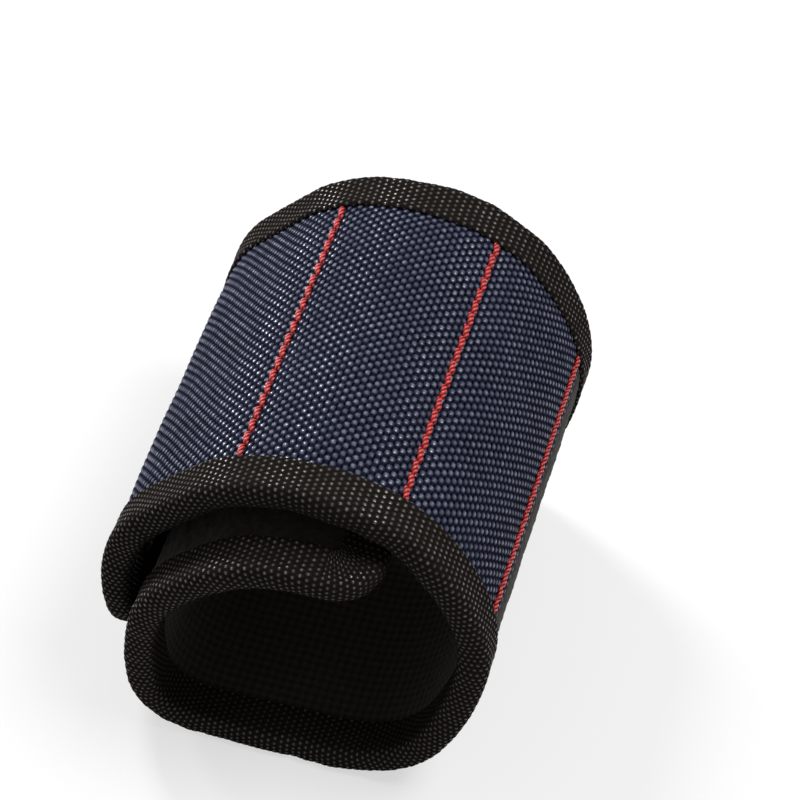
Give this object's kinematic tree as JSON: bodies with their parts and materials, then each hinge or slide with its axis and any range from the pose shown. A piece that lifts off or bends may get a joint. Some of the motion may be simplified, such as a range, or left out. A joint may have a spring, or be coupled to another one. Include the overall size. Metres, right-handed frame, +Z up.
{
  "type": "magnetic wristband",
  "caption": "Padded wristband wound over itself and shut by hook and loop, with magnets sewn into stitched panels to hold small steel things.",
  "frame": {"origin": "middle of the bounding box, at its bottom, where the band stands on its underside", "axes": "+Z up, Y along the wrist with the hand towards -Y, X across the wrist"},
  "size_m": [0.086, 0.103, 0.0887],
  "materials": {
    "navy_nylon": "coarse woven nylon",
    "black_loop": "brushed loop pile",
    "lining": "knitted mesh",
    "foam": "closed-cell foam",
    "binding_tape": "woven tape",
    "hook_tape": "hook tape",
    "red_thread": "twisted thread",
    "magnet": "nickel plated"
  },
  "bodies": {
    "tab": {"shell_tab": "navy_nylon", "foam_tab": "foam", "lining_tab": "lining", "binding_tab": "binding_tape"},
    "left": {"shell_left": "navy_nylon", "insert_left": "foam", "lining_left": "lining", "magnet_left_1": "magnet", "magnet_left_2": "magnet", "magnet_left_3": "magnet", "binding_near_left": "binding_tape", "binding_far_left": "binding_tape", "stitch_row_1": "red_thread", "hook_patch": "hook_tape"},
    "top": {"shell_top": "navy_nylon", "insert_top": "foam", "lining_top": "lining", "magnet_top_1": "magnet", "magnet_top_2": "magnet", "magnet_top_3": "magnet", "binding_near_top": "binding_tape", "binding_far_top": "binding_tape", "stitch_row_2": "red_thread", "stitch_row_3": "red_thread"},
    "right": {"shell_right": "navy_nylon", "insert_right": "foam", "lining_right": "lining", "magnet_right_1": "magnet", "magnet_right_2": "magnet", "magnet_right_3": "magnet", "binding_near_right": "binding_tape", "binding_far_right": "binding_tape", "stitch_row_4": "red_thread"},
    "lower_right": {"loop_lower_right": "black_loop", "foam_lower_right": "foam", "lining_lower_right": "lining", "binding_near_lower_right": "binding_tape", "binding_far_lower_right": "binding_tape"},
    "under": {"loop_under": "black_loop", "foam_under": "foam", "lining_under": "lining", "binding_near_under": "binding_tape", "binding_far_under": "binding_tape"},
    "lower_left": {"loop_lower_left": "black_loop", "foam_lower_left": "foam", "lining_lower_left": "lining", "binding_near_lower_left": "binding_tape", "binding_far_lower_left": "binding_tape"},
    "inner_left": {"loop_inner_left": "black_loop", "foam_inner_left": "foam", "lining_inner_left": "lining", "binding_near_inner_left": "binding_tape", "binding_far_inner_left": "binding_tape"},
    "inner_top": {"loop_inner_top": "black_loop", "foam_inner_top": "foam", "lining_inner_top": "lining", "binding_inner_top": "binding_tape"}
  },
  "joints": [
    {"name": "tab_lift", "type": "hinge", "parent": "left", "child": "tab", "pos_m": [-0.04288, 0.0063, 0.03062], "axis": [0, 1, 0], "range_deg": [0, 38.3]},
    {"name": "fold_left", "type": "hinge", "parent": "top", "child": "left", "pos_m": [-0.01584, 0.00398, 0.08296], "axis": [0, 1, 0], "range_deg": [0, 53.22]},
    {"name": "fold_top", "type": "hinge", "parent": "right", "child": "top", "pos_m": [0.02209, 0.00254, 0.08498], "axis": [0, 1, 0], "range_deg": [0, 61.52]},
    {"name": "fold_right", "type": "hinge", "parent": "lower_right", "child": "right", "pos_m": [0.04268, 0.0011, 0.05306], "axis": [0, 1, 0], "range_deg": [0, 46.92]},
    {"name": "unroll", "type": "hinge", "parent": "under", "child": "lower_right", "pos_m": [0.03004, -0.00069, 0.00817], "axis": [0, 1, 0], "range_deg": [0, 72.1]},
    {"name": "fold_back", "type": "hinge", "parent": "under", "child": "lower_left", "pos_m": [-0.0244, -0.00279, 0.00193], "axis": [0, -1, 0], "range_deg": [0, 45.52]},
    {"name": "fold_inner", "type": "hinge", "parent": "lower_left", "child": "inner_left", "pos_m": [-0.03414, -0.00334, 0.01509], "axis": [0, -1, 0], "range_deg": [0, 53.26]},
    {"name": "fold_end", "type": "hinge", "parent": "inner_left", "child": "inner_top", "pos_m": [-0.01563, -0.0055, 0.06657], "axis": [0, -1, 0], "range_deg": [0, 62.19]}
  ],
  "couplings": [
    {"joint": "fold_left", "follows": "unroll", "ratio": 0.73782},
    {"joint": "fold_top", "follows": "unroll", "ratio": 0.85293},
    {"joint": "fold_right", "follows": "unroll", "ratio": 0.65039},
    {"joint": "fold_back", "follows": "unroll", "ratio": 0.63103},
    {"joint": "fold_inner", "follows": "unroll", "ratio": 0.73839},
    {"joint": "fold_end", "follows": "unroll", "ratio": 0.8622}
  ]
}
